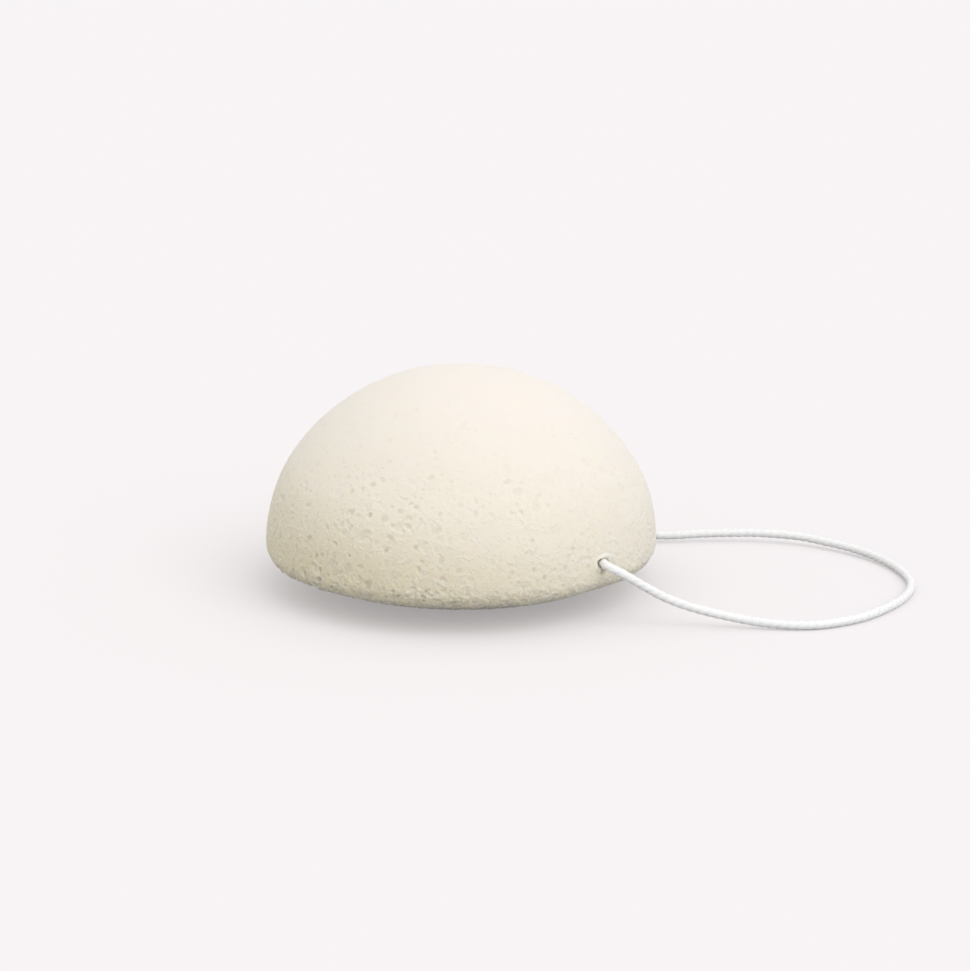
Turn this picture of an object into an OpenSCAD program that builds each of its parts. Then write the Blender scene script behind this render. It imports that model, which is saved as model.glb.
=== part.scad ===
// Konjac sponge: a half ball of gel foam with a cotton string tied through its lower edge.
// The origin is the middle of the patch that the sponge rests on, +Z up, the loop towards +X.

/* [Sponge] */
// Diameter of the sponge at its widest ring
sponge_d = 79; // [72:0.5:86]
// Height of the sponge
sponge_h = 44.5; // [40:0.5:52]
// Height of the widest ring
waist_z = 9.5; // [7:0.5:11]
// Radius of the rounded lower edge
edge_r = 3.8; // [2.5:0.1:5]
// Diameter of the flat patch that the sponge rests on
foot_d = 28; // [16:1:40]

/* [Channel] */
// Distance of the string's channel from the middle of the sponge
channel_x = 27.5; // [24:0.5:30]
// Height of the channel's middle line
channel_z = 12; // [10.5:0.5:16]
// Room left round the string all along its channel
channel_gap = 0.15; // [0.1:0.05:0.4]
// Width of the front mouth where it breaks the skin
mouth_d = 3.4; // [2.6:0.1:5]
// How deep the front mouth narrows down to the channel
mouth_deep = 2.4; // [1.5:0.1:4]
// Room left round the knot in its pocket
pocket_gap = 0.35; // [0.2:0.05:0.8]

/* [String] */
// Thickness of the twisted string
string_d = 1.7; // [1.2:0.1:2]
// Thickness of the string where the knot squeezes it
knot_string_d = 1.4; // [1:0.1:1.6]
// How far inside the front mouth the held stretch of string ends
held_inset = 2; // [1:0.1:3]
// How far the middle of the knot is sunk below the back mouth
knot_sunk = 1.7; // [0:0.1:4]

/* [Hidden] */
$fn = 96;
over = 6;            // overrun of every cut beyond the skin
tube_sides = 8;      // sides of a swept string
loop_steps = 2;      // rings for each stretch between two points of the loop
knot_steps = 3;      // rings for each stretch between two points of the knot
foam_colour = [0.95, 0.91, 0.82];
string_colour = [0.97, 0.96, 0.94];

// Outline of the sponge: a crown arc, a side arc, the edge and a shallow underside, all tangent
side_share = 0.857;  // radius of the side arc as a share of the dome's height above its widest ring
sponge_r = sponge_d / 2;
foot_r = foot_d / 2;
dome_h = sponge_h - waist_z;
side_r = side_share * dome_h;
crown_r = (pow(sponge_r, 2) - 2 * sponge_r * side_r + pow(dome_h, 2)) / (2 * (dome_h - side_r));
crown_z = sponge_h - crown_r;
crown_from = atan2(waist_z - crown_z, sponge_r - side_r);
edge_mid = sponge_r - edge_r;
edge_share = edge_r / waist_z;
under_mid = (pow(edge_mid, 2) + pow(waist_z, 2) - pow(foot_r, 2) - pow(edge_r, 2)) / (2 * waist_z);
under_root = sqrt(pow(under_mid * edge_share, 2)
                  + (1 - pow(edge_share, 2)) * (pow(under_mid, 2) + pow(foot_r, 2)));
under_r = (under_mid * edge_share + under_root) / (1 - pow(edge_share, 2));
under_z = under_mid + edge_share * under_r;
under_from = atan2(-under_z, foot_r);
under_to = atan2(waist_z - under_z, edge_mid);

// Mouths of the channel, which runs along Y and breaks the skin in front and behind
string_r = string_d / 2;
knot_r = knot_string_d / 2;
bore_r = string_r + channel_gap;
wall_r = sponge_r - side_r + sqrt(pow(side_r, 2) - pow(channel_z - waist_z, 2));
mouth_y = sqrt(pow(wall_r, 2) - pow(channel_x, 2));
mouth_slope_share = (mouth_d / 2 - bore_r) / mouth_deep;

// Reef knot: one strand as shares of its thickness, [along the channel, upwards, outwards].
// The strand comes in along the channel, rounds its bight and leaves below. The other strand is
// the same one turned over end for end, so each bight holds both legs of the other.
standing_share = 0.65;      // height of the incoming strand above the middle of the knot
knot_end_share = 3.6;       // from the middle of the knot to where each incoming strand starts
squeeze_share = 3.2;        // from the middle of the knot to where the squeeze begins
bight_reach_share = 1.65;   // half the knot's width, to the middle line of a bight
knot_thick_share = 0.6;     // half the knot's thickness, to the middle line of a bight
in_shares = [[-3.6, 0.65, 0], [-3.4, 0.65, 0], [-3.2, 0.65, 0], [-2.6, 0.65, -0.4], [-1.9, 0.55, -0.5]];
bight_shares = [[-1, 0.6, 0.1], [-0.25, 1.05, 0.55], [1.15, 1.65, 0.25], [2, 1.25, -0.45]];
turn_shares = [[2.35, 0, -0.6]];
out_shares = [[-1.9, -0.55, -0.5]];
tucked_tail_shares = [[-2.7, -0.65, -0.35], [-3.2, -0.75, -0.1]];
loose_tail_shares = [[-2.7, -0.75, -0.35], [-3.6, -1.25, -0.45], [-4.4, -2.1, -0.5], [-4.9, -3.1, -0.45]];
knot_y = mouth_y - knot_sunk;
knot_z = channel_z - standing_share * knot_string_d;
pocket_from = knot_y - knot_end_share * knot_string_d;
pocket_r = knot_thick_share * knot_string_d + knot_r + pocket_gap;
pocket_rise = (bight_reach_share - knot_thick_share) * knot_string_d;

// Middle line of the free loop, from the front mouth round to the knot at the back mouth
loop_route = [
    [27.5, -26.4, 12], [27.5, -27.4, 12], [27.9, -28.9, 12], [28.9, -30.1, 11.7],
    [30.5, -30.8, 11.1], [32.6, -31, 10], [35.4, -30.8, 8.3], [39.2, -30.4, 6.1],
    [43.8, -30.3, 4.3], [48.6, -30.4, 3], [53.5, -30.6, 2], [58.3, -31, 1.3],
    [63.2, -31.4, 1], [68.2, -31, 0.9], [73.2, -28.9, 0.9], [78.6, -25, 0.9],
    [84.4, -18, 0.9], [88.7, -10.4, 0.9], [90.8, -3, 0.9], [90.8, 4, 0.9],
    [89.3, 10.8, 1], [86.4, 17.1, 1.2], [82.4, 22.4, 1.4], [77.6, 26.6, 1.6],
    [72.4, 29.7, 1.9], [67.2, 31.5, 2], [61.8, 32.4, 2], [56.5, 32.5, 1.9],
    [51, 32.2, 1.8], [46, 31.7, 1.6], [42, 31.4, 1.6], [38.8, 31.9, 2.3],
    [35.9, 33.1, 3.9], [33.4, 34.6, 5.9], [31.5, 35.4, 7.8], [29.9, 35.6, 9.5],
    [28.7, 35.1, 10.8], [27.8, 33.9, 11.7], [27.5, 32.8, 12], [27.5, 31.8, 12]
];

// Points of an arc round a middle, from one angle to another
function arc(middle, r, from, to, steps) =
    [for (i = [1 : steps]) let (a = from + (to - from) * i / steps)
        [middle[0] + r * cos(a), middle[1] + r * sin(a)]];

// A point between b and c on a smooth line through a, b, c and d
function between(a, b, c, d, t) =
    (2 * b + (c - a) * t + (2 * a - 5 * b + 4 * c - d) * t * t + (3 * b - a - 3 * c + d) * t * t * t) / 2;

// A smooth line through the points, with its ends running on straight
function smooth(points, steps) =
    let (n = len(points) - 1,
         line = concat([2 * points[0] - points[1]], points, [2 * points[n] - points[n - 1]]))
    concat([for (i = [0 : n - 1], k = [0 : steps - 1])
                between(line[i], line[i + 1], line[i + 2], line[i + 3], k / steps)],
           [points[n]]);

function backwards(list) = [for (i = [len(list) - 1 : -1 : 0]) list[i]];

// A round section of a string, square to its run
function ring(middle, ahead, r, top) =
    let (run = ahead / norm(ahead),
         flat = cross(run, top),
         side = flat / norm(flat),
         up = cross(side, run))
    [for (k = [0 : tube_sides - 1]) let (a = 360 * k / tube_sides)
        middle + r * (cos(a) * side + sin(a) * up)];

// A string swept along a line, with a radius for each point of the line
module swept_string(line, radii, top) {
    last = len(line) - 1;
    rings = [for (i = [0 : last])
        ring(line[i], line[min(i + 1, last)] - line[max(i - 1, 0)], radii[i], top)];
    walls = [for (i = [0 : last - 1], k = [0 : tube_sides - 1])
        let (a = i * tube_sides + k, b = i * tube_sides + (k + 1) % tube_sides)
        [a, b, b + tube_sides, a + tube_sides]];
    start = [for (k = [tube_sides - 1 : -1 : 0]) k];
    end = [for (k = [0 : tube_sides - 1]) last * tube_sides + k];
    polyhedron([for (r = rings) each r], concat([start], walls, [end]), convexity = 10);
}

// One strand of the knot in shares: in, round its bight, back and out to its tail
function strand_shares(tail) =
    let (bight = concat(in_shares, bight_shares),
         mirrored = [for (p = backwards(bight_shares)) [p[0], -p[1], p[2]]])
    concat(bight, turn_shares, mirrored, out_shares, tail);

// The string keeps its full thickness up to where the knot squeezes it
function strand_radii(shares) =
    [for (p = shares) p[1] > 0 && p[0] < -squeeze_share ? string_r : knot_r];

// Least gap between the knot's two strands, measured on their points
function least_gap(a, b) = min([for (p = a) min([for (q = b) norm(p - q)])]) - knot_string_d;

module foam_outline() {
    polygon(concat(
        [[0, 0], [foot_r, 0]],
        arc([0, under_z], under_r, under_from, under_to, 6),
        arc([edge_mid, waist_z], edge_r, under_to, 0, 6),
        arc([sponge_r - side_r, waist_z], side_r, 0, crown_from, 8),
        arc([0, crown_z], crown_r, crown_from, 90, 12)));
}

// Straight channel, widened to a funnel in front and to the knot's pocket behind
module channel() {
    translate([channel_x, 0, channel_z]) rotate([90, 0, 0]) {
        translate([0, 0, -mouth_y]) cylinder(h = 2 * mouth_y, r = bore_r);
        translate([0, 0, mouth_y - mouth_deep])
            cylinder(h = mouth_deep + over, r1 = bore_r,
                     r2 = bore_r + mouth_slope_share * (mouth_deep + over));
    }
    for (rise = [-pocket_rise, pocket_rise])
        translate([channel_x, pocket_from, knot_z + rise]) rotate([-90, 0, 0])
            cylinder(h = mouth_y - pocket_from + over, r = pocket_r);
    translate([channel_x - pocket_r, pocket_from, knot_z - pocket_rise])
        cube([2 * pocket_r, mouth_y - pocket_from + over, 2 * pocket_rise]);
}

module sponge_body() {
    color(foam_colour)
        difference() {
            rotate_extrude() foam_outline();
            channel();
        }
}

module string_inside() {
    color(string_colour)
        translate([channel_x, pocket_from, channel_z]) rotate([90, 0, 0])
            cylinder(h = pocket_from + mouth_y - held_inset, r = string_r);
}

module string_loop() {
    line = smooth(loop_route, loop_steps);
    color(string_colour) swept_string(line, [for (p = line) string_r], [0, 0, 1]);
}

module string_knot() {
    tucked = smooth(strand_shares(tucked_tail_shares), knot_steps);
    loose = smooth(strand_shares(loose_tail_shares), knot_steps);
    middle = [channel_x, knot_y, knot_z];
    inner = [for (p = tucked) middle + knot_string_d * [p[2], p[0], p[1]]];
    outer = [for (p = loose) middle + knot_string_d * [-p[2], -p[0], p[1]]];
    echo(least_gap_between_the_strands = least_gap(inner, outer));
    color(string_colour) {
        swept_string(inner, strand_radii(tucked), [1, 0, 0]);
        swept_string(outer, strand_radii(loose), [1, 0, 0]);
    }
}

sponge_body();
string_inside();
string_loop();
string_knot();
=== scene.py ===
import math

import bpy
import numpy as np
from mathutils import Matrix, Vector, kdtree, noise


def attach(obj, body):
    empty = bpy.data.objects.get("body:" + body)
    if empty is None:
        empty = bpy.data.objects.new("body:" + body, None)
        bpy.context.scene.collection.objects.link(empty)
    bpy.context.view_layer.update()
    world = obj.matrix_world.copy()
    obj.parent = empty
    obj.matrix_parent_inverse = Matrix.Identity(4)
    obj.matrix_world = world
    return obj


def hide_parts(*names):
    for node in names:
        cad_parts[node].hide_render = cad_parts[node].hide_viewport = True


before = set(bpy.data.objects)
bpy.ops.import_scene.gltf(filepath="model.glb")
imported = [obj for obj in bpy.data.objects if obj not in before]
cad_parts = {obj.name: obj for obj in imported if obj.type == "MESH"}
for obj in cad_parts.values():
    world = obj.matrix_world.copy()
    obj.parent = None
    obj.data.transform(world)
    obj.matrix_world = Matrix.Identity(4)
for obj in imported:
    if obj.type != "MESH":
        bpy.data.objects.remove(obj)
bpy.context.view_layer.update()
mm = 0.001


def stageDone(text):
    print("konjac sponge:", text)


def clearSelection():
    if bpy.context.object and bpy.context.object.mode != "OBJECT":
        bpy.ops.object.mode_set(mode="OBJECT")
    bpy.ops.object.select_all(action="DESELECT")


def makeActive(obj):
    clearSelection()
    obj.select_set(True)
    bpy.context.view_layer.objects.active = obj


def rise(value, start, end):  # 0 up to the start, 1 from the end on, and straight between them
    return np.clip((value - start) / (end - start), 0, 1)


def bell(distance, width):  # 1 at no distance, and falls off softly
    return np.exp(-((distance / width) ** 2))


clearSelection()

# Camera at the photo's angle: low, a little above the sponge, with a long lens
photoView = {
    "place": (0.00472, -0.5251, 0.15256),
    "tiltDown": 14.1446,  # degrees
    "roll": 0.396,
    "lens": 100,  # mm, on a sensor 36 mm wide
    "seesTo": 40,  # m
}


def addCamera():
    bpy.ops.object.camera_add()
    camera = bpy.context.object
    camera.name = "photoCamera"
    camera.data.lens = photoView["lens"]
    camera.data.sensor_fit = "HORIZONTAL"
    camera.data.clip_end = photoView["seesTo"]
    camera.matrix_world = (
        Matrix.Translation(photoView["place"])
        @ Matrix.Rotation(math.radians(90 - photoView["tiltDown"]), 4, "X")
        @ Matrix.Rotation(math.radians(photoView["roll"]), 4, "Z")
    )
    bpy.context.scene.camera = camera


addCamera()
stageDone("camera placed")


# Small helpers for node materials


def newMaterial(name):
    material = bpy.data.materials.new(name)
    material.use_nodes = True
    tree = material.node_tree
    tree.nodes.clear()
    output = tree.nodes.new("ShaderNodeOutputMaterial")
    return material, tree, output


def addNode(tree, kind, inputs=None, **settings):  # an input is another node's output or a plain value
    made = tree.nodes.new(kind)
    for name, value in settings.items():
        setattr(made, name, value)
    for name, value in (inputs or {}).items():
        if isinstance(value, bpy.types.NodeSocket):
            tree.links.new(value, made.inputs[name])
        else:
            made.inputs[name].default_value = value
    return made


def addMath(tree, operation, *values, clamp=False):
    inputs = dict(enumerate(values))
    return addNode(tree, "ShaderNodeMath", inputs, operation=operation, use_clamp=clamp).outputs[0]


def addNoise(tree, place, scale, detail, roughness=0.5):
    inputs = {"Vector": place, "Scale": scale, "Detail": detail, "Roughness": roughness}
    return addNode(tree, "ShaderNodeTexNoise", inputs)


def addRamp(tree, value, start, end, low=0.0, high=1.0, shape="LINEAR"):
    inputs = {"Value": value, "From Min": start, "From Max": end, "To Min": low, "To Max": high}
    return addNode(tree, "ShaderNodeMapRange", inputs, interpolation_type=shape).outputs[0]


def mixColour(tree, share, first, second):
    inputs = {0: share, 6: first, 7: second}  # a Mix node keeps its two colours at 6 and 7
    return addNode(tree, "ShaderNodeMix", inputs, data_type="RGBA").outputs[2]


def paint(red, green, blue):  # a colour as read off a screen, 0 to 255
    def linear(c):
        c /= 255
        return c / 12.92 if c <= 0.04045 else ((c + 0.055) / 1.055) ** 2.4

    return (linear(red), linear(green), linear(blue), 1)


# The string's channel runs through the sponge along Y
channel = {
    "x": 27.5 * mm,
    "z": 12 * mm,
    "frontY": -28.2 * mm,  # where it comes out in front
    "heldFrom": 21.47 * mm,  # the held stretch runs from the knot's pocket
    "heldTo": -26.21 * mm,  # to just inside the front mouth
    "knotY": 26.5 * mm,
    "knotZ": 11.09 * mm,
}

# String: the free loop, the stretch held in the sponge and the knot are one twisted cotton cord
stringLook = {
    "thick": 1.7 * mm,
    "fluff": 1.03,  # the cotton stands a little proud of the measured thickness
    "plies": 3,
    "lay": 5.2 * mm,  # one full turn of the twist
    "plyOut": 0.24,  # how far a ply's middle sits from the string's, as a share of its radius
    "sides": 36,
    "steps": 10,  # between two points of the route
    "ringGap": 0.26 * mm,
    "uneven": 0.035,  # how much the thickness wanders
    "unevenLength": 2.4 * mm,
    "runOn": 0.18 * mm,  # the loop runs on at both ends, to meet the held string and the knot
    "endRound": 0.1,  # how far a plain end bulges, as a share of its radius
    "endRings": ((0.92, 0.35), (0.66, 0.72), (0.3, 0.95)),  # shares of the radius and of the bulge
    "endLength": 0.1,  # of an end on the unrolled string, in turns
}

loopRoute = [
    (0.0275, -0.0264, 0.012), (0.0275, -0.0274, 0.012), (0.0279, -0.0289, 0.012),
    (0.0289, -0.0301, 0.0117), (0.0305, -0.0308, 0.0111), (0.0326, -0.031, 0.01),
    (0.0354, -0.0308, 0.0083), (0.0392, -0.0304, 0.0061), (0.0438, -0.0303, 0.0043),
    (0.0486, -0.0304, 0.003), (0.0535, -0.0306, 0.002), (0.0583, -0.031, 0.0013),
    (0.0632, -0.0314, 0.001), (0.0682, -0.031, 0.0009), (0.0732, -0.0289, 0.0009),
    (0.0786, -0.025, 0.0009), (0.0844, -0.018, 0.0009), (0.0887, -0.0104, 0.0009),
    (0.0908, -0.003, 0.0009), (0.0908, 0.004, 0.0009), (0.0893, 0.0108, 0.001),
    (0.0864, 0.0171, 0.0012), (0.0824, 0.0224, 0.0014), (0.0776, 0.0266, 0.0016),
    (0.0724, 0.0297, 0.0019), (0.0672, 0.0315, 0.002), (0.0618, 0.0324, 0.002),
    (0.0565, 0.0325, 0.0019), (0.051, 0.0322, 0.0018), (0.046, 0.0317, 0.0016),
    (0.042, 0.0314, 0.0016), (0.0388, 0.0319, 0.0023), (0.0359, 0.0331, 0.0039),
    (0.0334, 0.0346, 0.0059), (0.0315, 0.0354, 0.0078), (0.0299, 0.0356, 0.0095),
    (0.0287, 0.0351, 0.0108), (0.0278, 0.0339, 0.0117), (0.0275, 0.0328, 0.012),
    (0.0275, 0.0318, 0.012),
]


def smoothLine(points, steps):
    p = np.array(points, float)
    line = np.vstack([2 * p[0] - p[1], p, 2 * p[-1] - p[-2]])
    t = np.arange(steps)[:, None] / steps
    runs = [
        (2 * b + (c - a) * t + (2 * a - 5 * b + 4 * c - d) * t**2 + (3 * b - a - 3 * c + d) * t**3) / 2
        for a, b, c, d in zip(line, line[1:], line[2:], line[3:])
    ]
    return np.vstack(runs + [p[-1:]])


def lengthAlong(line):
    return np.concatenate([[0], np.cumsum(np.linalg.norm(np.diff(line, axis=0), axis=1))])


def evenLine(line, gap):
    along = lengthAlong(line)
    at = np.linspace(0, along[-1], int(math.ceil(along[-1] / gap)) + 1)
    return np.stack([np.interp(at, along, line[:, k]) for k in range(line.shape[1])], axis=1)


def carriedFrames(line):  # a side and an up for each ring, carried along without turning
    ahead = np.gradient(line, axis=0)
    ahead /= np.linalg.norm(ahead, axis=1)[:, None]
    side = np.zeros_like(line)
    start = np.cross(ahead[0], (0, 0, 1))  # every strand starts level
    side[0] = start / np.linalg.norm(start)
    for i in range(1, len(line)):
        turned = side[i - 1] - side[i - 1].dot(ahead[i]) * ahead[i]
        side[i] = turned / np.linalg.norm(turned)
    return side, np.cross(side, ahead), ahead


def plySection(phase):  # outline of plies laid side by side, as a share of the string's radius
    out = stringLook["plyOut"]
    half = math.pi / stringLook["plies"]
    a = np.mod(phase + half, 2 * half) - half
    return out * np.cos(a) + np.sqrt((1 - out) ** 2 - (out * np.sin(a)) ** 2)


def wander(along, seed):  # slow random change along a string
    return np.array([noise.noise((s / stringLook["unevenLength"], seed, 0.5)) for s in along])


def twistedRings(line, radii, seed):
    sides = stringLook["sides"]
    along = lengthAlong(line)
    side, up, ahead = carriedFrames(line)
    turn = np.arange(sides) * 2 * math.pi / sides
    phase = turn[None, :] - (2 * math.pi * along / stringLook["lay"])[:, None]
    thick = radii * stringLook["fluff"] * (1 + stringLook["uneven"] * wander(along, seed))
    reach = thick[:, None] * plySection(phase)
    rings = (
        line[:, None, :]
        + reach[..., None] * np.cos(turn)[None, :, None] * side[:, None, :]
        + reach[..., None] * np.sin(turn)[None, :, None] * up[:, None, :]
    )
    return rings, ahead, along, phase


def endRings(middle, ring, bulge):  # rings that close in towards the tip of an end
    return [middle + share * (ring - middle) + out * bulge for share, out in stringLook["endRings"]]


def tubeFaces(run, across):  # faces of a closed tube, and their places on the unrolled string
    sides, total = stringLook["sides"], len(run)
    step, tip = stringLook["plies"] / sides, stringLook["endLength"]
    faces, uvs = [], []
    for i in range(total - 1):
        here, there = i * sides, (i + 1) * sides
        for k in range(sides):
            n = (k + 1) % sides
            faces.append((here + k, there + k, there + n, here + n))
            uvs += [
                (across[i, k], run[i]), (across[i + 1, k], run[i + 1]),
                (across[i + 1, k] + step, run[i + 1]), (across[i, k] + step, run[i]),
            ]
    last = (total - 1) * sides
    startTip, endTip = total * sides, total * sides + 1
    for k in range(sides):
        n = (k + 1) % sides
        faces += [(startTip, k, n), (endTip, last + n, last + k)]
        uvs += [
            (across[0, k], run[0] - tip), (across[0, k], run[0]), (across[0, k] + step, run[0]),
            (across[-1, k], run[-1] + tip), (across[-1, k] + step, run[-1]), (across[-1, k], run[-1]),
        ]
    return faces, uvs


def closedTube(line, radii, seed, lastRound=stringLook["endRound"]):
    rings, ahead, along, phase = twistedRings(line, radii, seed)
    startBulge = -stringLook["endRound"] * radii[0] * ahead[0]
    lastBulge = lastRound * radii[-1] * ahead[-1]
    startRings = endRings(line[0], rings[0], startBulge)[::-1]
    lastRings = endRings(line[-1], rings[-1], lastBulge)
    allRings = np.concatenate([startRings, rings, lastRings]).reshape(-1, 3)
    verts = [*map(tuple, allRings), tuple(line[0] + startBulge), tuple(line[-1] + lastBulge)]
    ends = len(lastRings)
    run = np.pad(along, ends, mode="edge") / stringLook["lay"]
    across = np.pad(phase, ((ends, ends), (0, 0)), mode="edge") * stringLook["plies"] / (2 * math.pi)
    return verts, *tubeFaces(run, across)


def meshPiece(name, parts):  # one object from several closed tubes
    verts, faces, uvs = [], [], []
    for partVerts, partFaces, partUvs in parts:
        shift = len(verts)
        verts += partVerts
        faces += [tuple(v + shift for v in face) for face in partFaces]
        uvs += partUvs
    mesh = bpy.data.meshes.new(name)
    mesh.from_pydata(verts, [], faces)
    layer = mesh.uv_layers.new(name="twist")
    layer.data.foreach_set("uv", np.array(uvs, np.float32).ravel())
    mesh.validate()
    obj = bpy.data.objects.new(name, mesh)
    bpy.context.scene.collection.objects.link(obj)
    makeActive(obj)
    bpy.ops.object.shade_smooth()
    return obj


cottonPaint = {
    "white": paint(254, 252, 250),
    "whiter": paint(255, 255, 254),
    # painted shade in the furrows between the twisted yarns
    "furrowShade": paint(243, 241, 239),
    "furrowShadeShare": 0.1,
    "yarnLean": 24,  # degrees, against the string
    "yarnHigh": 0.6,  # shares of the relief
    "lintHigh": 0.5,
    "relief": 0.12 * mm,
    "lightDepth": 1.4 * mm,  # how far light soaks in
}


def cottonMaterial():
    look = cottonPaint
    material, tree, output = newMaterial("twistedCotton")
    unrolled = addNode(tree, "ShaderNodeUVMap", uv_map="twist").outputs["UV"]
    place = addNode(tree, "ShaderNodeTexCoord").outputs["Object"]
    slanted = addNode(
        tree, "ShaderNodeMapping",
        {"Vector": unrolled, "Rotation": (0, 0, math.radians(look["yarnLean"])), "Scale": (1, 2.4, 1)},
    ).outputs[0]
    yarn = addNode(
        tree, "ShaderNodeTexWave",
        {"Vector": slanted, "Scale": 2.6, "Distortion": 2.2, "Detail": 3, "Detail Scale": 2.5},
        bands_direction="X",
    ).outputs["Fac"]
    lint = addNoise(tree, place, scale=5200, detail=3, roughness=0.65).outputs["Fac"]
    soft = addNoise(tree, place, scale=420, detail=2).outputs["Fac"]
    relief = addMath(tree, "MULTIPLY", lint, look["lintHigh"])
    relief = addMath(tree, "MULTIPLY_ADD", yarn, look["yarnHigh"], relief)
    bump = addNode(tree, "ShaderNodeBump", {"Height": relief, "Strength": 0.32, "Distance": look["relief"]})
    tone = mixColour(tree, soft, look["white"], look["whiter"])
    # painted shade: the cotton is darker along the yarn bands of the twist
    tone = mixColour(tree, addMath(tree, "MULTIPLY", yarn, look["furrowShadeShare"]), tone, look["furrowShade"])
    cotton = addNode(
        tree, "ShaderNodeBsdfPrincipled",
        {
            "Base Color": tone, "Roughness": 0.86, "Specular IOR Level": 0.25,
            "Sheen Weight": 0.8, "Sheen Roughness": 0.5,
            "Subsurface Weight": 0.85, "Subsurface Radius": (1, 0.97, 0.93),
            "Subsurface Scale": look["lightDepth"], "Normal": bump.outputs["Normal"],
        },
    )
    tree.links.new(cotton.outputs[0], output.inputs["Surface"])
    return material


cotton = cottonMaterial()


def addLoop():
    runOn = np.array((0, stringLook["runOn"], 0))
    line = smoothLine(loopRoute, stringLook["steps"])
    line = evenLine(np.vstack([line[0] + runOn, line, line[-1] - runOn]), stringLook["ringGap"])
    radii = np.full(len(line), stringLook["thick"] / 2)
    loop = meshPiece("stringLoop", [closedTube(line, radii, seed=3.1)])
    loop.data.materials.append(cotton)
    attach(loop, "loop")
    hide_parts("string_loop")
    return loop, line


loop, loopLine = addLoop()
stageDone("string loop laid, %.0f mm long" % (lengthAlong(loopLine)[-1] / mm))

# Reef knot that joins the string's two ends, half sunk in the back mouth of the channel.
# The points of a strand are shares of its thickness: along the channel, upwards and sideways.
knotLook = {
    "thick": 1.4 * mm,  # the knot squeezes the string
    "squeezeFrom": 3.2,  # further out than this, a strand's leg keeps its full thickness
    "start": [(-3.6, 0.65, 0), (-3.4, 0.65, 0), (-3.2, 0.65, 0), (-2.6, 0.65, -0.4), (-1.9, 0.55, -0.5)],
    "bight": [(-1, 0.6, 0.1), (-0.25, 1.05, 0.55), (1.15, 1.65, 0.25), (2, 1.25, -0.45)],
    "turn": [(2.35, 0, -0.6)],
    "leave": [(-1.9, -0.55, -0.5)],
    "tuckedTail": [(-2.7, -0.65, -0.35), (-3.2, -0.75, -0.1)],
    "looseTail": [(-2.7, -0.75, -0.35), (-3.6, -1.25, -0.45), (-4.4, -2.1, -0.5), (-4.9, -3.1, -0.45)],
    "tailRound": 0.35,
    "steps": 8,
    "ringGap": 0.2 * mm,
}


def knotStrand(tail, way, seed):  # way is 1 or -1: the second strand faces the first
    look, thick = knotLook, knotLook["thick"]
    back = [(along, -up, aside) for along, up, aside in reversed(look["bight"])]
    shares = look["start"] + look["bight"] + look["turn"] + back + look["leave"] + look[tail]
    points = []
    for along, up, aside in shares:
        squeezed = up <= 0 or along >= -look["squeezeFrom"]
        points.append((
            channel["x"] + way * thick * aside,
            channel["knotY"] + way * thick * along,
            channel["knotZ"] + thick * up,
            (thick if squeezed else stringLook["thick"]) / 2,
        ))
    line = evenLine(smoothLine(points, look["steps"]), look["ringGap"])
    return closedTube(line[:, :3].copy(), line[:, 3].copy(), seed, lastRound=look["tailRound"])


def addKnotAndHeld():
    strands = [knotStrand("tuckedTail", 1, seed=7.7), knotStrand("looseTail", -1, seed=9.2)]
    knot = meshPiece("stringKnot", strands)
    ends = [(channel["x"], y, channel["z"]) for y in (channel["heldFrom"], channel["heldTo"])]
    line = evenLine(np.array(ends), stringLook["ringGap"])
    radii = np.full(len(line), stringLook["thick"] / 2)
    held = meshPiece("stringHeld", [closedTube(line, radii, seed=5.3)])
    for piece, node in ((knot, "string_knot"), (held, "string_inside")):
        piece.data.materials.append(cotton)
        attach(piece, "sponge")
        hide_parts(node)
    return knot


knot = addKnotAndHeld()
stageDone("knot tied and held stretch placed")

# Sponge: a half ball of konjac gel foam
spongeShape = {
    "across": 79 * mm,
    "high": 44.5 * mm,
    "waist": 9.5 * mm,  # height of the widest ring
    "edge": 3.8 * mm,  # radius of the lower edge
    "foot": 28 * mm,  # flat patch that it rests on
    "sideShare": 0.857,  # radius of the side's arc, as a share of the height above the waist
    "arcSteps": (16, 12, 20, 30),  # of the underside, the edge, the side and the crown
    "turns": 144,  # steps of the spin
    "grain": 0.22 * mm,  # size of the remeshed faces
    "keep": 0.55,  # share of the faces left once the skin is done
    "swell": 0.1 * mm,  # slow unevenness all over
    "swellWide": 20 * mm,
    "swellSmall": 5 * mm,
    "swellSmallShare": 0.5,
    "footFade": 1.5 * mm,  # height over which the unevenness comes in, so that the foot stays flat
}
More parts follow.
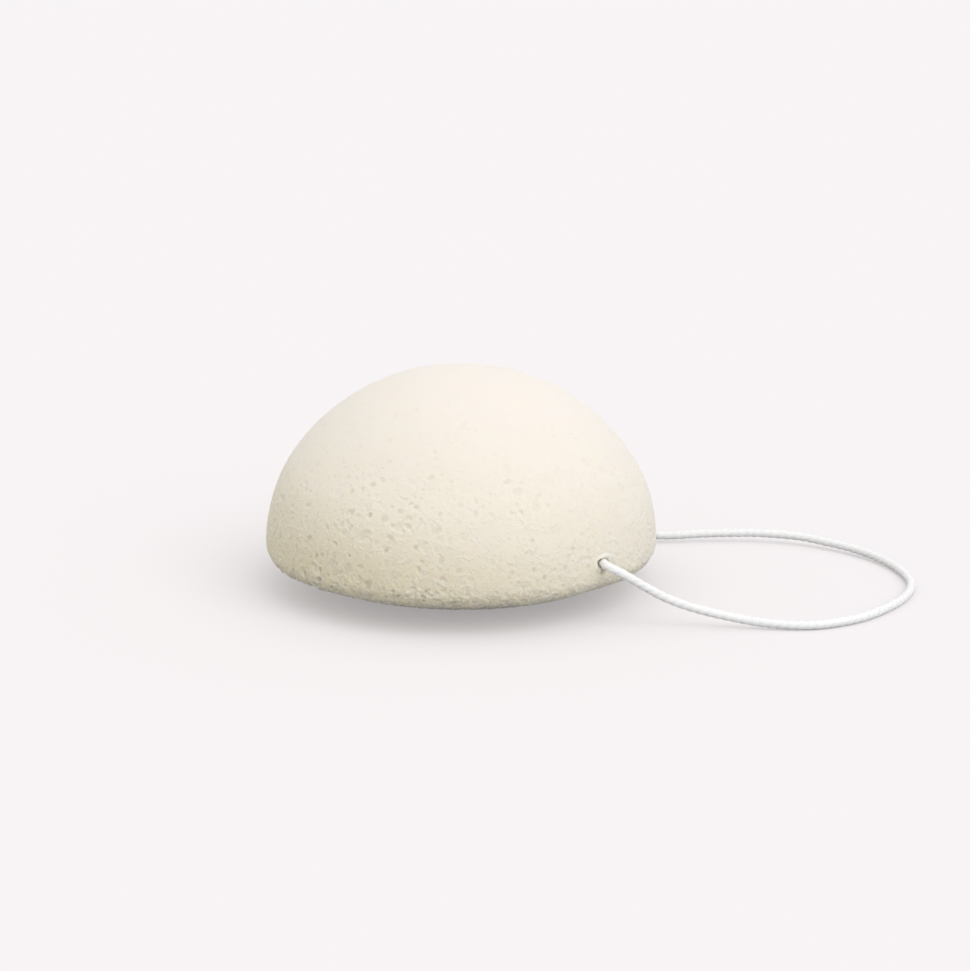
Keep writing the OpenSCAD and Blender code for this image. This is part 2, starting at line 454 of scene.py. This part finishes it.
# Dents and swellings of this one sponge: middle, spread and push outwards, all in mm
presses = [
    ((-39, 0, 16), 12, -0.35),
    ((-34, -16, 6), 6, 0.25),
    ((0, -31, 4), 16, 0.15),
    ((27, -27, 6), 8, -0.5),
    ((36, -12, 6), 6, -0.25),
    ((39, -3, 10), 9, -0.3),
]
mouths = {
    "bore": 0.92 * mm,  # the foam closes round the string more tightly than the plain solid
    "plain": (0.03 * mm, 0.28 * mm),  # the bore's own wall is plain, and cells come in outside it
    "room": 0.93 * mm,  # from the string's middle to the foam, wherever the loop swings
    "swing": 140,  # degrees
    "swingStep": 4,
    "swingReach": 9 * mm,  # length of string, and width of skin round the mouth, that is tried
    "roll": 0.1 * mm,  # how far the front mouth's edge turns in
    "rollWide": 0.4 * mm,
    "rollDeep": 2.5 * mm,  # under the skin, where the turning ends at both mouths
    "collar": 0.38 * mm,  # how far the foam stands up round the string
    "collarAt": 1.4 * mm,
    "collarWide": 0.32 * mm,
    "collarHighest": 140,  # degrees round the string from its right, so at the upper left
    "collarUneven": 0.4,  # it is lower by twice this share on the other side
    "collarOver": 0.1 * mm,  # the collar is left out where a cell is deeper than this
    "tear": (27.65 * mm, -27.9 * mm, 10.3 * mm),  # small torn hole just under the string
    "tearRadius": 0.8 * mm,
    "tearLow": 0.9,  # its height as a share of its width
    "tearDeep": 0.6 * mm,
    "tearFloor": 0.6,
    "frill": (1.6 * mm, 0, 1.2 * mm),  # ruffled patch beside the front mouth, from its middle
    "frillWide": 2.4 * mm,
    "pocketRadius": 1.62 * mm,
    "pocketRise": 1.5 * mm,  # half of the slot's straight stretch, up and down
    "pocketRoll": 0.6 * mm,
    "pocketRollWide": 0.8 * mm,
    "pocketFrill": 0.8,  # how ruffled it is for the front mouth's 1
    "pocketFrillWide": 1.5 * mm,
    "cutterSides": 48,
    "overlap": 1 * mm,  # of the bore and the pocket
    "beyond": 6 * mm,  # how far the cutters stand out of the sponge
}


def spongeArcs():  # arcs that run into each other: middle, radius, and the angles from and to
    s = spongeShape
    half, waist, edge, foot = s["across"] / 2, s["waist"], s["edge"], s["foot"] / 2
    dome = s["high"] - waist
    side = s["sideShare"] * dome
    crown = (half * half - 2 * half * side + dome * dome) / (2 * (dome - side))
    crownZ = s["high"] - crown
    crownFrom = math.atan2(waist - crownZ, half - side)
    share = edge / waist
    mid = ((half - edge) ** 2 + waist * waist - foot * foot - edge * edge) / (2 * waist)
    root = math.sqrt((mid * share) ** 2 + (1 - share**2) * (mid * mid + foot * foot))
    under = (mid * share + root) / (1 - share**2)
    underZ = mid + share * under
    underTo = math.atan2(waist - underZ, half - edge)
    return [
        ((0, underZ), under, math.atan2(-underZ, foot), underTo),
        ((half - edge, waist), edge, underTo, 0),
        ((half - side, waist), side, 0, crownFrom),
        ((0, crownZ), crown, crownFrom, math.pi / 2),
    ]


def spongeOutline():  # distance from the axis and height, from under the sponge round to its top
    foot = spongeShape["foot"] / 2
    points = [(0, 0), (foot / 2, 0), (foot, 0)]
    for ((x, z), radius, start, end), steps in zip(spongeArcs(), spongeShape["arcSteps"]):
        for i in range(1, steps + 1):
            a = start + (end - start) * i / steps
            points.append((x + radius * math.cos(a), z + radius * math.sin(a)))
    points[-1] = (0, points[-1][1])
    return np.array(points)


outline = spongeOutline()


def turnedBlank(name):  # a plane merged to one point is drawn out along the outline and spun
    clearSelection()
    bpy.ops.mesh.primitive_plane_add(size=1 * mm)
    obj = bpy.context.object
    obj.name = name
    bpy.ops.object.mode_set(mode="EDIT")
    bpy.ops.mesh.select_all(action="SELECT")
    bpy.ops.mesh.merge(type="CENTER")
    for out, up in np.diff(outline, axis=0):
        bpy.ops.mesh.extrude_region_move(TRANSFORM_OT_translate={"value": (out, 0, up)})
    bpy.ops.mesh.select_all(action="SELECT")
    bpy.ops.mesh.spin(steps=spongeShape["turns"], angle=2 * math.pi, center=(0, 0, 0), axis=(0, 0, 1))
    bpy.ops.mesh.select_all(action="SELECT")
    bpy.ops.mesh.remove_doubles(threshold=0.001 * mm)
    bpy.ops.mesh.normals_make_consistent(inside=False)
    bpy.ops.object.mode_set(mode="OBJECT")
    orderFaces(obj)
    return obj


def orderFaces(obj):  # merging leaves the faces in another order each time, so they are sorted
    places = [v.co.copy() for v in obj.data.vertices]
    faces = []
    for face in obj.data.polygons:
        corners = tuple(face.vertices)
        first = corners.index(min(corners))
        faces.append(corners[first:] + corners[:first])
    obj.data.clear_geometry()
    obj.data.from_pydata(places, [], sorted(faces))
    obj.data.update()


def addCutter(start, end, radius):  # a round cutter along the channel
    clearSelection()
    bpy.ops.mesh.primitive_cylinder_add(
        vertices=mouths["cutterSides"], radius=radius, depth=end - start,
        location=(channel["x"], (start + end) / 2, channel["z"]), rotation=(-math.pi / 2, 0, 0),
    )
    return bpy.context.object


def addSlotCutter(start, end, radius, apart):  # a cutter whose upper half goes up and lower half down
    cutter = addCutter(start, end, radius)
    bpy.ops.object.mode_set(mode="EDIT")
    bpy.ops.mesh.select_all(action="SELECT")
    bpy.ops.mesh.bisect(plane_co=(channel["x"], 0, channel["z"]), plane_no=(0, 0, 1))
    bpy.ops.object.mode_set(mode="OBJECT")
    toWorld = cutter.matrix_world.copy()
    for v in cutter.data.vertices:
        place = toWorld @ v.co
        half = max(-1, min(1, (place.z - channel["z"]) / (0.1 * mm)))  # 0 for the points on the cut
        place.z += apart * half + channel["knotZ"] - channel["z"]
        v.co = toWorld.inverted() @ place
    return cutter


def cutAway(obj, cutter):
    makeActive(obj)
    cut = obj.modifiers.new("cut", "BOOLEAN")
    cut.object = cutter
    cut.operation = "DIFFERENCE"
    cut.solver = "EXACT"
    bpy.ops.object.modifier_apply(modifier="cut")
    bpy.data.objects.remove(cutter)


def slowNoise(points, size, shift=0.0):
    return np.array([noise.noise(q) for q in points / size + (shift, 0, 0)])


def swellAt(points):  # how far this sponge stands out from the plain outline
    s = spongeShape
    small = s["swellSmallShare"] * slowNoise(points, s["swellSmall"], shift=7.1)
    swell = s["swell"] * (slowNoise(points, s["swellWide"]) + small)
    for middle, spread, push in presses:
        apart = np.linalg.norm(points - np.array(middle) * mm, axis=1)
        swell += push * mm * bell(apart, spread * mm)
    return swell * rise(points[:, 2], 0, s["footFade"])


def pointsOf(obj):  # places and normals of the points
    read = np.empty(len(obj.data.vertices) * 3, np.float32)
    obj.data.vertices.foreach_get("co", read)
    places = read.reshape(-1, 3).astype(float)
    obj.data.vertices.foreach_get("normal", read)
    return places, read.reshape(-1, 3).astype(float)


def movePoints(obj, places):
    obj.data.vertices.foreach_set("co", places.astype(np.float32).ravel())
    obj.data.update()


def blankSponge():
    m = mouths
    blank = turnedBlank("konjacFoam")
    places, out = pointsOf(blank)
    movePoints(blank, places + out * swellAt(places)[:, None])
    front, pocket, back = channel["frontY"], channel["heldFrom"], -channel["frontY"]
    cutAway(blank, addCutter(front - m["beyond"], pocket + m["overlap"], m["bore"]))
    cutAway(blank, addSlotCutter(pocket, back + m["beyond"], m["pocketRadius"], m["pocketRise"]))
    grain = blank.modifiers.new("grain", "REMESH")
    grain.mode = "VOXEL"
    grain.voxel_size = spongeShape["grain"]
    makeActive(blank)
    bpy.ops.object.modifier_apply(modifier="grain")
    return blank


sponge = blankSponge()
stageDone("blank turned, pierced and remeshed: %d points" % len(sponge.data.vertices))

# Cells come in sizes: radius and lip in mm, depth as a share of the radius, and how round the floor is
foamLook = {
    "seed": 11,
    "fine": {"count": 8000, "radius": (0.18, 0.34), "deep": 0.55, "lip": 0.02, "floor": 0.8},
    "medium": {"count": 2500, "radius": (0.3, 0.58), "deep": 0.52, "lip": 0.04, "floor": 0.6},
    "large": {"count": 420, "radius": (0.6, 1.05), "deep": 0.2, "lip": 0.04, "floor": 0.35},
    "torn": {"count": 2550, "radius": (0.28, 0.65), "deep": 0.9, "lip": 0.1, "floor": 0.6},
    "clear": {"stretch": 1.2, "lip": 0.03, "floor": 0.6},
    "tornTop": 9 * mm,  # torn cells lie only near the rim
    "crowd": {"atFoot": 1.15, "fallOver": 40 * mm, "least": 0.12},  # fewer cells towards the crown
    "openness": {"atFoot": 1.75, "fallOver": 27 * mm, "least": 0.2, "most": 1.6},  # and shallower
    "depths": (0.3, 1),
    "depthPower": 1.5,  # makes shallow cells the more common
    "stretch": 1.8,  # how long the longest cells are for their width
    "wobble": 0.35,  # how far cells are from round
    "wobbleSize": 0.5 * mm,
    "lipAt": 1.12,  # in radii of the cell
    "lipWide": 0.18,
    "cellEnds": 1.5,  # no point further out than this is looked at
    "lipOver": 0.02 * mm,  # a lip is left out where another cell is deeper than this
    "skin": (0.6 * mm, 0.25 * mm),  # below the first depth nothing is carved, above the second all is
    "patches": {"size": 14 * mm, "middle": 0.75, "swing": 0.9, "least": 0.3},  # of smoother skin
    "byString": {"x": (12 * mm, 22 * mm), "z": (13.8 * mm, 19.8 * mm), "smoother": 0.45},
    "foldWide": 1.3 * mm,
    "foldSmall": 0.7 * mm,
    "foldSmallShare": 0.3,
    "foldSharp": 3.2,
    "foldLevel": 0.35,  # folds above this stand out, and what is below sinks in
    "ruffle": 0.55 * mm,  # torn cell walls along the lower rim
    "ruffleFoot": 1.2 * mm,
    "ruffleTop": 11 * mm,  # where they fade out
    "rufflePower": 0.7,
    "mouthRuffle": 0.8,  # how ruffled the mouths are for the rim's 1
    "fullCellShade": 0.3 * mm,  # depth that gets the full painted shade of the cells
    "fullLip": 0.08 * mm,  # height that gets the wall's
}
# The clearest cells of this one sponge: degrees round from +X, height, radius and depth, in mm
clearCells = [
    (-120, 27.5, 0.55, 0.32), (-118, 22.5, 0.5, 0.35), (-113, 22, 0.8, 0.2), (-111, 16.5, 0.55, 0.4),
    (-124, 22.5, 0.5, 0.2), (-96, 23.5, 0.5, 0.2), (-93, 29, 0.45, 0.2), (-106, 22.5, 0.5, 0.2),
    (-125, 20.5, 0.55, 0.15), (-90, 13.5, 0.6, 0.4), (-116, 9.5, 0.8, 0.4), (-69, 18.5, 0.5, 0.25),
    (-69, 13, 0.5, 0.25), (-129, 19.5, 0.5, 0.15),
]


def skinDepth(points):  # how far each point lies inside the sponge's plain outline
    r, z = np.hypot(points[:, 0], points[:, 1]), points[:, 2]
    best, side = np.full(len(points), 1.0), np.zeros(len(points))
    for a, b in zip(outline, outline[1:]):
        run = b - a
        t = np.clip(((r - a[0]) * run[0] + (z - a[1]) * run[1]) / run.dot(run), 0, 1)
        offR, offZ = r - a[0] - t * run[0], z - a[1] - t * run[1]
        apart = np.hypot(offR, offZ)
        side = np.where(apart < best, np.sign(offZ * run[0] - offR * run[1]), side)
        best = np.minimum(best, apart)
    return best * side


def scatterOnSkin(count, rng, top):  # even places on the outline's surface, thinned towards the crown
    crowd = foamLook["crowd"]
    drawn = count * 2
    a, b = outline[:-1], outline[1:]
    area = np.linalg.norm(b - a, axis=1) * (a[:, 0] + b[:, 0])
    step = rng.choice(len(area), drawn, p=area / area.sum())
    t = rng.random(drawn)
    r, z = (a[step] + t[:, None] * (b[step] - a[step])).T
    turn = rng.random(drawn) * 2 * math.pi
    keep = rng.random(drawn) < np.clip(crowd["atFoot"] - z / crowd["fallOver"], crowd["least"], 1)
    places = np.stack([r * np.cos(turn), r * np.sin(turn), z], axis=1)[keep]
    return places[:count][places[:count, 2] < top]


def pressCells(p, n):  # how deep and how raised each point is from the open cells round it
    look = foamLook
    wobble = 1 + look["wobble"] * slowNoise(p, look["wobbleSize"])
    tree = kdtree.KDTree(len(p))
    for i, point in enumerate(p):
        tree.insert(point, i)
    tree.balance()
    pit, lip = np.zeros(len(p)), np.zeros(len(p))

    def press(place, radius, deep, stretch, way, size):
        middle, first, _ = tree.find(place)
        index = np.array([i for _, i, _ in tree.find_range(middle, radius * stretch * look["cellEnds"])])
        away = p[index] - np.array(middle)
        flat = way - way.dot(n[first]) * n[first]
        flat /= np.linalg.norm(flat)
        across = (away**2).sum(1) - (away @ flat) ** 2 * (1 - 1 / stretch**2)
        t = np.sqrt(np.maximum(across, 0)) / radius * wobble[index]
        pit[index] = np.maximum(pit[index], deep * np.clip(1 - t * t, 0, 1) ** size["floor"])
        lip[index] = np.maximum(lip[index], size["lip"] * mm * bell(t - look["lipAt"], look["lipWide"]))

    rng = np.random.default_rng(look["seed"])
    for name in ("fine", "medium", "large", "torn"):
        size = look[name]
        top = look["tornTop"] if name == "torn" else math.inf
        places = scatterOnSkin(size["count"], rng, top)
        radii = rng.uniform(*size["radius"], len(places)) * mm
        deeps = size["deep"] * radii * rng.uniform(*look["depths"], len(places)) ** look["depthPower"]
        stretches = rng.uniform(1, look["stretch"], len(places))
        ways = rng.normal(size=(len(places), 3))
        for one in zip(places, radii, deeps, stretches, ways):
            press(*one, size)
    wall = outline[outline[:, 1] >= spongeShape["waist"]]
    clear = look["clear"]
    for degrees, high, radius, deep in clearCells:
        a, r = math.radians(degrees), np.interp(high * mm, wall[:, 1], wall[:, 0])
        place = (r * math.cos(a), r * math.sin(a), high * mm)
        press(place, radius * mm, deep * mm, clear["stretch"], rng.normal(size=3), clear)
    return pit, lip


def opennessAt(p):  # some patches of skin are smoother, and so are the crown and the side by the string
    patches, openness, calm = foamLook["patches"], foamLook["openness"], foamLook["byString"]
    patch = patches["middle"] + patches["swing"] * slowNoise(p, patches["size"], shift=3.3)
    height = openness["atFoot"] - p[:, 2] / openness["fallOver"]
    byString = rise(p[:, 0], *calm["x"]) * rise(p[:, 2], *calm["z"])
    return (
        np.clip(patch, patches["least"], 1)
        * np.clip(height, openness["least"], openness["most"])
        * (1 - calm["smoother"] * byString)
    )


def tearAt(p):  # depth of the small torn hole under the string
    m = mouths
    away = np.linalg.norm((p - m["tear"]) / (1, 1, m["tearLow"]), axis=1) / m["tearRadius"]
    return m["tearDeep"] * np.clip(1 - away**2, 0, 1) ** m["tearFloor"]


def foldsAt(p):  # thin raised folds, 0 between them and 1 on them
    look = foamLook
    wide = np.clip(1 - look["foldSharp"] * np.abs(slowNoise(p, look["foldWide"])), 0, 1)
    small = np.clip(1 - look["foldSharp"] * np.abs(slowNoise(p, look["foldSmall"], shift=5.1)), 0, 1)
    return wide * (1 - look["foldSmallShare"]) + small * look["foldSmallShare"]


def nearMouthAt(p, fromPocket, front):  # 1 where the skin by the mouths is ruffled most
    m = mouths
    middle = np.array((channel["x"], channel["frontY"], channel["z"])) + m["frill"]
    byFront = bell(np.linalg.norm(p - middle, axis=1), m["frillWide"])
    byPocket = m["pocketFrill"] * bell(fromPocket, m["pocketFrillWide"]) * ~front
    return np.maximum(byFront, byPocket)


def collarAt(overX, overZ, front):  # 1 on the crest of the foam that stands up round the string
    m = mouths
    around = np.arctan2(overZ, overX) - math.radians(m["collarHighest"])
    high = 1 - m["collarUneven"] + m["collarUneven"] * np.cos(around)
    return high * bell(np.hypot(overX, overZ) - m["collarAt"], m["collarWide"]) * front


def turnEdgesIn(p, depth, fromBore, fromPocket, front):
    m = mouths
    byFront = m["roll"] * bell(fromBore, m["rollWide"])
    byPocket = m["pocketRoll"] * bell(fromPocket, m["pocketRollWide"])
    turnedIn = np.where(front, byFront, byPocket) * rise(depth, m["rollDeep"], 0)
    fromAxis = np.maximum(np.hypot(p[:, 0], p[:, 1]), 10 * mm)  # the mouths lie further out than that
    p[:, :2] *= 1 - (turnedIn / fromAxis)[:, None]


def leaveRoom(p):  # presses the foam back from where the string passes as the loop swings
    m = mouths
    hinge = np.array([channel["x"], 0, channel["z"]])
    start = loopLine[: int(m["swingReach"] / stringLook["ringGap"])] - hinge
    turns = range(0, m["swing"] + 1, m["swingStep"])
    tree = kdtree.KDTree(len(start) * len(turns))
    for degrees in turns:
        turn = np.array(Matrix.Rotation(math.radians(degrees), 3, (0, -1, 0)))
        for i, place in enumerate(start @ turn.T + hinge):
            tree.insert(place, i)
    tree.balance()
    mouth = (channel["x"], channel["frontY"], channel["z"])
    for i in np.flatnonzero(np.linalg.norm(p - mouth, axis=1) < m["swingReach"]):
        middle, _, apart = tree.find(p[i])
        if apart < m["room"]:
            p[i] = np.array(middle) + (p[i] - np.array(middle)) * m["room"] / apart


def sculptFoam(obj):
    look, m = foamLook, mouths
    p, n = pointsOf(obj)
    depth = skinDepth(p) + swellAt(p)
    front = p[:, 1] < 0
    overX, overZ = p[:, 0] - channel["x"], p[:, 2] - channel["z"]
    fromBore = np.hypot(overX, overZ) - m["bore"]
    besideSlot = np.maximum(np.abs(p[:, 2] - channel["knotZ"]) - m["pocketRise"], 0)
    fromPocket = np.hypot(overX, besideSlot) - m["pocketRadius"]
    skin = rise(depth, *look["skin"]) * np.where(front, rise(fromBore, *m["plain"]), 1)

    pit, lip = pressCells(p, n)
    openness = opennessAt(p)
    pit, lip = np.maximum(pit * openness, tearAt(p)), lip * openness
    nearRim = rise(p[:, 2], look["ruffleTop"], 0) * rise(p[:, 2], 0, look["ruffleFoot"])
    nearRim = nearRim ** look["rufflePower"]
    nearMouth = nearMouthAt(p, fromPocket, front)
    folds = foldsAt(p)
    collar = collarAt(overX, overZ, front)

    ruffle = (folds - look["foldLevel"]) * look["ruffle"]
    move = ruffle * np.maximum(nearRim, look["mouthRuffle"] * nearMouth) - pit
    move += lip * (pit < look["lipOver"]) + collar * m["collar"] * (pit < m["collarOver"])
    p += n * (skin * move)[:, None]
    turnEdgesIn(p, depth, fromBore, fromPocket, front)
    leaveRoom(p)
    p[:, 2] = np.maximum(p[:, 2], 0)
    movePoints(obj, p)

    raised = lip / look["fullLip"] + np.maximum(folds * np.maximum(nearRim, nearMouth), collar)
    for name, value in (("cellShade", pit / look["fullCellShade"]), ("wall", raised)):  # for the material: painted shade in the cells, and the paler raised walls
        layer = obj.data.attributes.new(name, "FLOAT", "POINT")
        layer.data.foreach_set("value", np.clip(value * skin, 0, 1).astype(np.float32))


def thinOut(obj):
    thin = obj.modifiers.new("thin", "DECIMATE")
    thin.ratio = spongeShape["keep"]
    makeActive(obj)
    bpy.ops.object.modifier_apply(modifier="thin")
    bpy.ops.object.shade_smooth()


sculptFoam(sponge)
thinOut(sponge)
stageDone("cells pressed into the skin: %d points left" % len(sponge.data.vertices))

foamPaint = {
    # the colour goes darker and yellower from the crown down to the rim: partly the foam's own tone, partly
    # painted shade near the floor
    "crown": paint(238, 231, 224),
    "waist": paint(240, 233, 218),
    "rim": paint(227, 216, 184),
    # painted shade in the open cells, deeper cells darker
    "cellShade": paint(192, 187, 160),
    "wall": paint(247, 242, 230),
    "paintedLightToRight": 0.24,  # painted light and shade: paler towards the string on the lit right side, darker on the shaded left; each mm to the right counts as this much height
    "rimTop": 19 * mm,  # the rim's darker colour, partly painted shade, fades out up to here
    "waistToCrown": (16 * mm, 42 * mm),
    "clouds": 0.14,
    "cellShadeShare": 0.4,
    "wallShare": 0.55,
    "largeCells": {"size": 3.0, "line": 0.3, "shift": 0.0},  # cells and fine lines between them, in mm
    "smallCells": {"size": 1.3, "line": 0.2, "shift": 0.31},
    "smallShare": 0.8,
    "linePatches": (0.5, 0.64),  # the lines come in where a noise lies above these
    "linesFade": (10 * mm, 34 * mm),  # and fade upwards
    "bends": ((420, 1.6 * mm), (1300, 0.7 * mm)),  # they run crooked: how often and how far
    "wallHigh": 0.13 * mm,
    "grainHigh": 0.03 * mm,
    "bubbleHigh": 0.065 * mm,
    "lightDepth": 2.1 * mm,  # how far light soaks in
}


def addCellWalls(tree, place, cells):  # thin lines where cell walls end at the skin, in patches
    scale, shift = 1 / (cells["size"] * mm), cells["shift"]
    moved = addNode(
        tree, "ShaderNodeMapping", {"Vector": place, "Location": (shift, shift * 0.37, -shift)}
    ).outputs[0]
    edge = addNode(
        tree, "ShaderNodeTexVoronoi", {"Vector": moved, "Scale": scale}, feature="DISTANCE_TO_EDGE"
    ).outputs["Distance"]
    wide = cells["line"] / cells["size"]
    line = addRamp(tree, edge, start=0.01, end=wide, low=1.0, high=0.0, shape="SMOOTHSTEP")
    patches = addNoise(tree, moved, scale=scale * 1.1, detail=1).outputs["Fac"]
    shown = addRamp(tree, patches, *foamPaint["linePatches"], shape="SMOOTHSTEP")
    return addMath(tree, "MULTIPLY", line, shown)


def foamMaterial():
    look = foamPaint
    material, tree, output = newMaterial("konjacFoam")
    place = addNode(tree, "ShaderNodeTexCoord").outputs["Object"]
    cellShade = addNode(tree, "ShaderNodeAttribute", attribute_name="cellShade").outputs["Fac"]
    wall = addNode(tree, "ShaderNodeAttribute", attribute_name="wall").outputs["Fac"]
    parts = addNode(tree, "ShaderNodeSeparateXYZ", {"Vector": place})
    height = parts.outputs["Z"]
    # painted light and shade: height, with each mm to the right counted as higher, so the right side comes
    # out paler and the left side darker
    heightAndLitSide = addMath(tree, "MULTIPLY_ADD", parts.outputs["X"], look["paintedLightToRight"], height)

    bent = place
    for scale, reach in look["bends"]:
        bend = addNoise(tree, place, scale, detail=1).outputs["Color"]
        inputs = {0: bend, 1: (reach,) * 3, 2: bent}
        bent = addNode(tree, "ShaderNodeVectorMath", inputs, operation="MULTIPLY_ADD").outputs[0]
    lower = addRamp(tree, height, *look["linesFade"], low=1.0, high=0.1)
    small = addMath(tree, "MULTIPLY", addCellWalls(tree, bent, look["smallCells"]), look["smallShare"])
    lines = addMath(tree, "MAXIMUM", addCellWalls(tree, bent, look["largeCells"]), small)
    lines = addMath(tree, "MULTIPLY", lines, lower)

    # darker and yellower towards the rim: partly the foam's own tone, partly painted shade near the floor
    # and on the left
    tone = mixColour(tree, addRamp(tree, heightAndLitSide, *look["waistToCrown"]), look["waist"], look["crown"])
    tone = mixColour(tree, addRamp(tree, heightAndLitSide, 0.0, look["rimTop"]), look["rim"], tone)
    clouds = addNoise(tree, place, scale=130, detail=4, roughness=0.65).outputs["Fac"]
    tone = mixColour(tree, addMath(tree, "MULTIPLY", clouds, look["clouds"]), tone, look["rim"])
    # painted shade: the cells darken with their depth
    deep = addMath(tree, "MULTIPLY", cellShade, look["cellShadeShare"], clamp=True)
    tone = mixColour(tree, deep, tone, look["cellShade"])
    pale = addMath(tree, "MULTIPLY", addMath(tree, "MAXIMUM", lines, wall), look["wallShare"], clamp=True)
    tone = mixColour(tree, pale, tone, look["wall"])

    grain = addNoise(tree, place, scale=2600, detail=3, roughness=0.6).outputs["Fac"]
    bubbles = addNode(
        tree, "ShaderNodeTexVoronoi", {"Vector": bent, "Scale": 1150}, feature="SMOOTH_F1"
    ).outputs["Distance"]
    bubbles = addMath(tree, "MULTIPLY", bubbles, lower)
    relief = addMath(tree, "MULTIPLY", lines, look["wallHigh"])
    relief = addMath(tree, "MULTIPLY_ADD", grain, look["grainHigh"], relief)
    relief = addMath(tree, "MULTIPLY_ADD", bubbles, look["bubbleHigh"], relief)
    bump = addNode(tree, "ShaderNodeBump", {"Height": relief, "Strength": 1.0, "Distance": 1.0})
    foam = addNode(
        tree, "ShaderNodeBsdfPrincipled",
        {
            "Base Color": tone, "Roughness": 0.62, "Specular IOR Level": 0.3,
            "Subsurface Weight": 0.65, "Subsurface Radius": (1, 0.85, 0.6),
            "Subsurface Scale": look["lightDepth"], "Normal": bump.outputs["Normal"],
        },
    )
    tree.links.new(foam.outputs[0], output.inputs["Surface"])
    return material


sponge.data.materials.clear()
sponge.data.materials.append(foamMaterial())
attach(sponge, "sponge")
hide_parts("sponge_body")
stageDone("foam coloured")

# Plain pale floor and soft studio light
studio = {
    "floor": paint(250, 246, 247),
    "floorAcross": 14,  # m
    "floorGlow": 0.35,  # how much of the floor's paleness the camera sees without the light
    "floorDull": 0.9,  # its own paleness under the lamps, so that it stays just short of white
    "floorBounce": 0.4,
    "backdrop": paint(251, 246, 248),
    "sky": 0.87,
    "sun": 1.0,
    "sunSoft": 55,  # degrees across
    "sunFrom": (-52, 43),  # degrees: in front and to the right, and above the horizon
}


def mixSeen(tree, output, unseen, seen):  # what is seen directly, and what only lights the object
    path = addNode(tree, "ShaderNodeLightPath")
    direct = addMath(tree, "MAXIMUM", path.outputs["Is Camera Ray"], path.outputs["Is Glossy Ray"])
    direct = addMath(tree, "MAXIMUM", direct, path.outputs["Is Transmission Ray"])
    mix = addNode(tree, "ShaderNodeMixShader", {0: direct, 1: unseen.outputs[0], 2: seen.outputs[0]})
    tree.links.new(mix.outputs[0], output.inputs["Surface"])


def addFloor():
    clearSelection()
    bpy.ops.mesh.primitive_plane_add(size=studio["floorAcross"])
    floor = bpy.context.object
    floor.name = "paleFloor"
    material, tree, output = newMaterial("paleFloor")
    glow = addNode(tree, "ShaderNodeEmission", {"Color": studio["floor"], "Strength": studio["floorGlow"]})
    share = (1 - studio["floorGlow"]) * studio["floorDull"]
    shaded = tuple(c * share for c in studio["floor"][:3]) + (1,)
    pale = addNode(tree, "ShaderNodeBsdfDiffuse", {"Color": shaded})
    both = addNode(tree, "ShaderNodeAddShader", {0: glow.outputs[0], 1: pale.outputs[0]})
    dull = addNode(tree, "ShaderNodeBsdfDiffuse", {"Color": (studio["floorBounce"],) * 3 + (1,)})
    mixSeen(tree, output, dull, both)
    floor.data.materials.append(material)


def addLight():
    world = bpy.data.worlds.new("studio")
    bpy.context.scene.world = world
    world.use_nodes = True
    tree = world.node_tree
    tree.nodes.clear()
    output = tree.nodes.new("ShaderNodeOutputWorld")
    backdrop = addNode(tree, "ShaderNodeBackground", {"Color": studio["backdrop"], "Strength": 1.0})
    sky = addNode(tree, "ShaderNodeBackground", {"Color": (1, 1, 1, 1), "Strength": studio["sky"]})
    mixSeen(tree, output, sky, backdrop)
    bpy.ops.object.light_add(type="SUN")
    sun = bpy.context.object
    sun.name = "softKey"
    sun.data.energy = studio["sun"]
    sun.data.angle = math.radians(studio["sunSoft"])
    around, above = (math.radians(a) for a in studio["sunFrom"])
    level = math.cos(above)
    toward = Vector((level * math.cos(around), level * math.sin(around), math.sin(above)))
    sun.rotation_euler = toward.to_track_quat("Z", "Y").to_euler()


addFloor()
addLight()
bpy.context.scene.view_settings.view_transform = "Standard"
stageDone("floor and light set")
